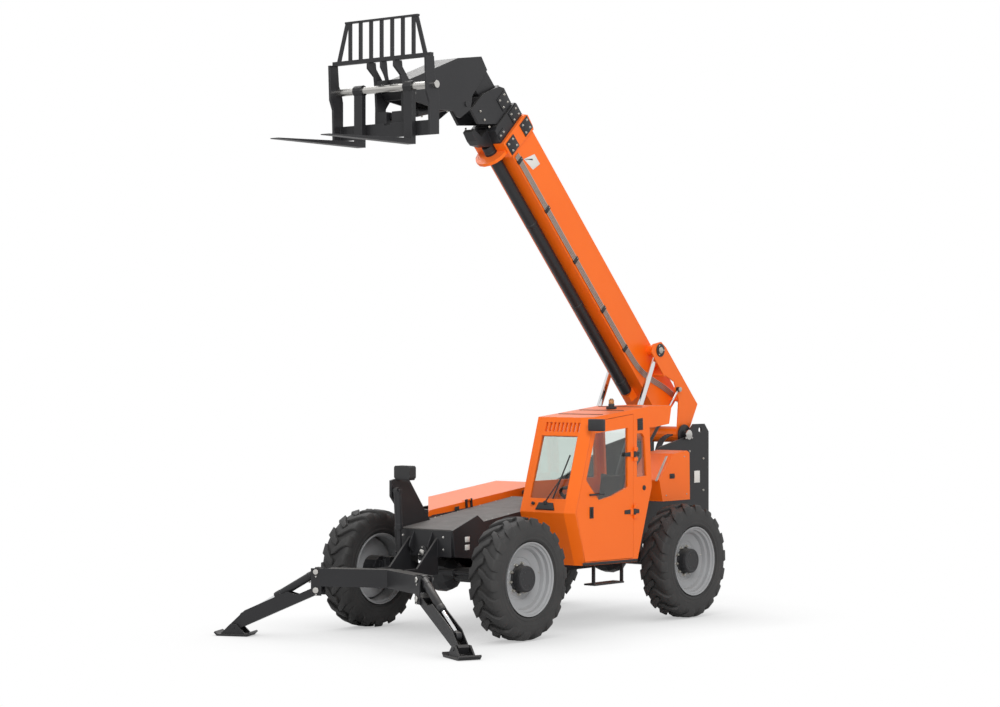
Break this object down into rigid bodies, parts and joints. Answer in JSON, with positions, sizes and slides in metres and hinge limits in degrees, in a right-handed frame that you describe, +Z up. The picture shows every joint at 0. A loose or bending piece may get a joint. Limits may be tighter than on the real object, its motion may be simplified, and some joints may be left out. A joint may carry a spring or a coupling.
{
  "type": "telehandler",
  "caption": "Four-wheel telehandler with a side cab, a four-piece telescopic boom raised at an angle, a fork carriage and two folding front outriggers.",
  "frame": {"origin": "centre of the footprint box, on the ground", "axes": "-Y is the direction of travel, where the forks point; +X is the cab's side, the left; +Z is up"},
  "size_m": [3.847, 6.99, 6.872],
  "materials": {
    "orange_paint": "semi-gloss enamel",
    "black_paint": "satin black enamel",
    "rod_chrome": "hard chrome",
    "shaft_steel": "bare turned steel",
    "rim_paint": "silver-grey enamel",
    "tyre_rubber": "matt",
    "glass": "tinted safety glass",
    "seat_cloth": "woven cloth",
    "black_plastic": "grained",
    "pad_rubber": "matt",
    "amber_plastic": "clear amber",
    "deck_paint": "non-slip grey coating",
    "engine_iron": "painted casting"
  },
  "bodies": {
    "chassis": {"main_frame": "black_paint", "deck_panels": "deck_paint", "boom_rest_pad": "pad_rubber", "sway_cylinder": "black_paint", "front_axle": "black_paint", "rear_axle": "black_paint", "cab_shell": "orange_paint", "cab_glass": "glass", "cab_seat": "seat_cloth", "cab_controls": "black_plastic", "cab_step": "black_paint", "mirror": "black_plastic", "beacon": "amber_plastic", "engine_pod": "black_paint", "engine_block": "engine_iron", "side_tank": "orange_paint", "driveline": "shaft_steel", "outrigger_beam": "black_paint"},
    "cab_door": {"cab_door": "orange_paint", "door_glass": "glass"},
    "engine_hood": {"engine_hood": "orange_paint"},
    "front_left_knuckle": {"front_left_knuckle": "black_paint"},
    "front_left_wheel": {"front_left_tyre": "tyre_rubber", "front_left_rim": "rim_paint"},
    "front_right_knuckle": {"front_right_knuckle": "black_paint"},
    "front_right_wheel": {"front_right_tyre": "tyre_rubber", "front_right_rim": "rim_paint"},
    "rear_left_knuckle": {"rear_left_knuckle": "black_paint"},
    "rear_left_wheel": {"rear_left_tyre": "tyre_rubber", "rear_left_rim": "rim_paint"},
    "rear_right_knuckle": {"rear_right_knuckle": "black_paint"},
    "rear_right_wheel": {"rear_right_tyre": "tyre_rubber", "rear_right_rim": "rim_paint"},
    "boom_outer": {"boom_outer": "orange_paint", "extension_rod": "rod_chrome"},
    "boom_section_2": {"boom_section_2": "black_paint", "boom_collar_2": "black_paint", "extension_barrel": "black_paint"},
    "boom_section_3": {"boom_section_3": "black_paint", "boom_collar_3": "black_paint"},
    "boom_fly": {"boom_fly": "black_paint", "boom_gooseneck": "black_paint"},
    "lift_barrel_left": {"lift_barrel_left": "black_paint"},
    "lift_rod_left": {"lift_rod_left": "rod_chrome"},
    "lift_barrel_right": {"lift_barrel_right": "black_paint"},
    "lift_rod_right": {"lift_rod_right": "rod_chrome"},
    "level_barrel": {"level_barrel": "black_paint"},
    "level_rod": {"level_rod": "rod_chrome"},
    "fork_carriage": {"fork_carriage": "black_paint", "fork_shaft": "shaft_steel"},
    "fork_left": {"fork_left": "black_paint"},
    "fork_right": {"fork_right": "black_paint"},
    "tilt_barrel": {"tilt_barrel": "black_paint"},
    "tilt_rod": {"tilt_rod": "rod_chrome"},
    "outrigger_leg_left": {"outrigger_leg_left": "black_paint"},
    "outrigger_foot_left": {"outrigger_foot_left": "black_paint"},
    "outrigger_barrel_left": {"outrigger_barrel_left": "black_paint"},
    "outrigger_rod_left": {"outrigger_rod_left": "rod_chrome"},
    "outrigger_leg_right": {"outrigger_leg_right": "black_paint"},
    "outrigger_foot_right": {"outrigger_foot_right": "black_paint"},
    "outrigger_barrel_right": {"outrigger_barrel_right": "black_paint"},
    "outrigger_rod_right": {"outrigger_rod_right": "rod_chrome"}
  },
  "joints": [
    {"name": "door_hinge", "type": "hinge", "parent": "chassis", "child": "cab_door", "pos_m": [1.214, 0.88, 1.665], "axis": [0, 0, 1], "range_deg": [0, 75]},
    {"name": "hood_hinge", "type": "hinge", "parent": "chassis", "child": "engine_hood", "pos_m": [-0.428, 0.43, 1.52202], "axis": [0, 0.9938, 0.1115], "range_deg": [0, 60]},
    {"name": "front_left_steer", "type": "hinge", "parent": "chassis", "child": "front_left_knuckle", "pos_m": [0.86, -1.147, 0.683], "axis": [0, 0, 1], "range_deg": [-35, 35]},
    {"name": "front_left_roll", "type": "hinge", "parent": "front_left_knuckle", "child": "front_left_wheel", "pos_m": [1.1095, -1.147, 0.683], "axis": [1, 0, 0], "continuous": true},
    {"name": "front_right_steer", "type": "hinge", "parent": "chassis", "child": "front_right_knuckle", "pos_m": [-0.86, -1.147, 0.683], "axis": [0, 0, 1], "range_deg": [-35, 35]},
    {"name": "front_right_roll", "type": "hinge", "parent": "front_right_knuckle", "child": "front_right_wheel", "pos_m": [-1.1095, -1.147, 0.683], "axis": [1, 0, 0], "continuous": true},
    {"name": "rear_left_steer", "type": "hinge", "parent": "chassis", "child": "rear_left_knuckle", "pos_m": [0.86, 2.007, 0.683], "axis": [0, 0, 1], "range_deg": [-35, 35]},
    {"name": "rear_left_roll", "type": "hinge", "parent": "rear_left_knuckle", "child": "rear_left_wheel", "pos_m": [1.1095, 2.007, 0.683], "axis": [1, 0, 0], "continuous": true},
    {"name": "rear_right_steer", "type": "hinge", "parent": "chassis", "child": "rear_right_knuckle", "pos_m": [-0.86, 2.007, 0.683], "axis": [0, 0, 1], "range_deg": [-35, 35]},
    {"name": "rear_right_roll", "type": "hinge", "parent": "rear_right_knuckle", "child": "rear_right_wheel", "pos_m": [-1.1095, 2.007, 0.683], "axis": [1, 0, 0], "continuous": true},
    {"name": "boom_lift", "type": "hinge", "parent": "chassis", "child": "boom_outer", "pos_m": [0, 3.05, 2.16], "axis": [1, 0, 0], "range_deg": [-23.3, 48.7]},
    {"name": "boom_extend_2", "type": "slide", "parent": "boom_outer", "child": "boom_section_2", "axis": [0, -0.6858, 0.7278], "range_m": [0, 3.2]},
    {"name": "boom_extend_3", "type": "slide", "parent": "boom_section_2", "child": "boom_section_3", "axis": [0, -0.6858, 0.7278], "range_m": [0, 3.2]},
    {"name": "boom_extend_fly", "type": "slide", "parent": "boom_section_3", "child": "boom_fly", "axis": [0, -0.6858, 0.7278], "range_m": [0, 3.2]},
    {"name": "lift_cylinder_left", "type": "hinge", "parent": "chassis", "child": "lift_barrel_left", "pos_m": [0.312, 1.3, 0.75], "axis": [1, 0, 0], "range_deg": [-6.03, 11.51]},
    {"name": "lift_stroke_left", "type": "slide", "parent": "lift_barrel_left", "child": "lift_rod_left", "axis": [0, 0.4575, 0.8892], "range_m": [-0.8647, 0.4189]},
    {"name": "lift_cylinder_right", "type": "hinge", "parent": "chassis", "child": "lift_barrel_right", "pos_m": [-0.312, 1.3, 0.75], "axis": [1, 0, 0], "range_deg": [-6.03, 11.51]},
    {"name": "lift_stroke_right", "type": "slide", "parent": "lift_barrel_right", "child": "lift_rod_right", "axis": [0, 0.4575, 0.8892], "range_m": [-0.8647, 0.4189]},
    {"name": "level_cylinder", "type": "hinge", "parent": "chassis", "child": "level_barrel", "pos_m": [0.39, 1.964, 1.713], "axis": [1, 0, 0], "range_deg": [-5.24, 9.87]},
    {"name": "level_stroke", "type": "slide", "parent": "level_barrel", "child": "level_rod", "axis": [0, 0.6871, 0.7266], "range_m": [-0.4544, 0.2226]},
    {"name": "carriage_tilt", "type": "hinge", "parent": "boom_fly", "child": "fork_carriage", "pos_m": [0, -1.9, 6.06], "axis": [-1, 0, 0], "range_deg": [-60, 50]},
    {"name": "fork_left_shift", "type": "slide", "parent": "fork_carriage", "child": "fork_left", "axis": [1, 0, 0], "range_m": [-0.08, 0.2]},
    {"name": "fork_right_shift", "type": "slide", "parent": "fork_carriage", "child": "fork_right", "axis": [-1, 0, 0], "range_m": [-0.08, 0.2]},
    {"name": "tilt_cylinder", "type": "hinge", "parent": "boom_fly", "child": "tilt_barrel", "pos_m": [0, -0.925, 6.015], "axis": [-1, 0, 0], "range_deg": [-5.89, 5.08]},
    {"name": "tilt_stroke", "type": "slide", "parent": "tilt_barrel", "child": "tilt_rod", "axis": [0, -0.9791, -0.2034], "range_m": [-0.2496, 0.2097]},
    {"name": "outrigger_left", "type": "hinge", "parent": "chassis", "child": "outrigger_leg_left", "pos_m": [0.785, -2.36, 0.535], "axis": [-0.4226, -0.9063, 0], "range_deg": [-15.6, 94]},
    {"name": "outrigger_foot_left", "type": "hinge", "parent": "outrigger_leg_left", "child": "outrigger_foot_left", "pos_m": [1.67099, -2.77315, 0.1], "axis": [-0.4226, -0.9063, 0], "range_deg": [-20, 20]},
    {"name": "outrigger_cylinder_left", "type": "hinge", "parent": "chassis", "child": "outrigger_barrel_left", "pos_m": [0.785, -2.36, 0.74], "axis": [-0.4226, -0.9063, 0], "range_deg": [-17.1, 98.01]},
    {"name": "outrigger_stroke_left", "type": "slide", "parent": "outrigger_barrel_left", "child": "outrigger_rod_left", "axis": [0.7802, -0.3638, -0.5089], "range_m": [-0.3048, 0.0589]},
    {"name": "outrigger_right", "type": "hinge", "parent": "chassis", "child": "outrigger_leg_right", "pos_m": [-0.785, -2.36, 0.535], "axis": [-0.4226, 0.9063, 0], "range_deg": [-15.6, 94]},
    {"name": "outrigger_foot_right", "type": "hinge", "parent": "outrigger_leg_right", "child": "outrigger_foot_right", "pos_m": [-1.67099, -2.77315, 0.1], "axis": [-0.4226, 0.9063, 0], "range_deg": [-20, 20]},
    {"name": "outrigger_cylinder_right", "type": "hinge", "parent": "chassis", "child": "outrigger_barrel_right", "pos_m": [-0.785, -2.36, 0.74], "axis": [-0.4226, 0.9063, 0], "range_deg": [-17.1, 98.01]},
    {"name": "outrigger_stroke_right", "type": "slide", "parent": "outrigger_barrel_right", "child": "outrigger_rod_right", "axis": [-0.7802, -0.3638, -0.5089], "range_m": [-0.3048, 0.0589]}
  ],
  "couplings": [
    {"joint": "front_right_steer", "follows": "front_left_steer", "ratio": 1},
    {"joint": "rear_right_steer", "follows": "rear_left_steer", "ratio": 1},
    {"joint": "boom_extend_3", "follows": "boom_extend_2", "ratio": 1},
    {"joint": "boom_extend_fly", "follows": "boom_extend_2", "ratio": 1},
    {"joint": "lift_cylinder_left", "follows": "boom_lift", "ratio": 0.21585},
    {"joint": "lift_stroke_left", "follows": "boom_lift", "m_per_rad": -1.0056},
    {"joint": "lift_cylinder_right", "follows": "boom_lift", "ratio": 0.21585},
    {"joint": "lift_stroke_right", "follows": "boom_lift", "m_per_rad": -1.0056},
    {"joint": "level_cylinder", "follows": "boom_lift", "ratio": 0.18203},
    {"joint": "level_stroke", "follows": "boom_lift", "m_per_rad": -0.52286},
    {"joint": "tilt_cylinder", "follows": "carriage_tilt", "ratio": 0.08156},
    {"joint": "tilt_stroke", "follows": "carriage_tilt", "m_per_rad": 0.22883},
    {"joint": "outrigger_cylinder_left", "follows": "outrigger_left", "ratio": 1.032},
    {"joint": "outrigger_stroke_left", "follows": "outrigger_left", "m_per_rad": -0.17966},
    {"joint": "outrigger_cylinder_right", "follows": "outrigger_right", "ratio": 1.032},
    {"joint": "outrigger_stroke_right", "follows": "outrigger_right", "m_per_rad": -0.17966}
  ]
}
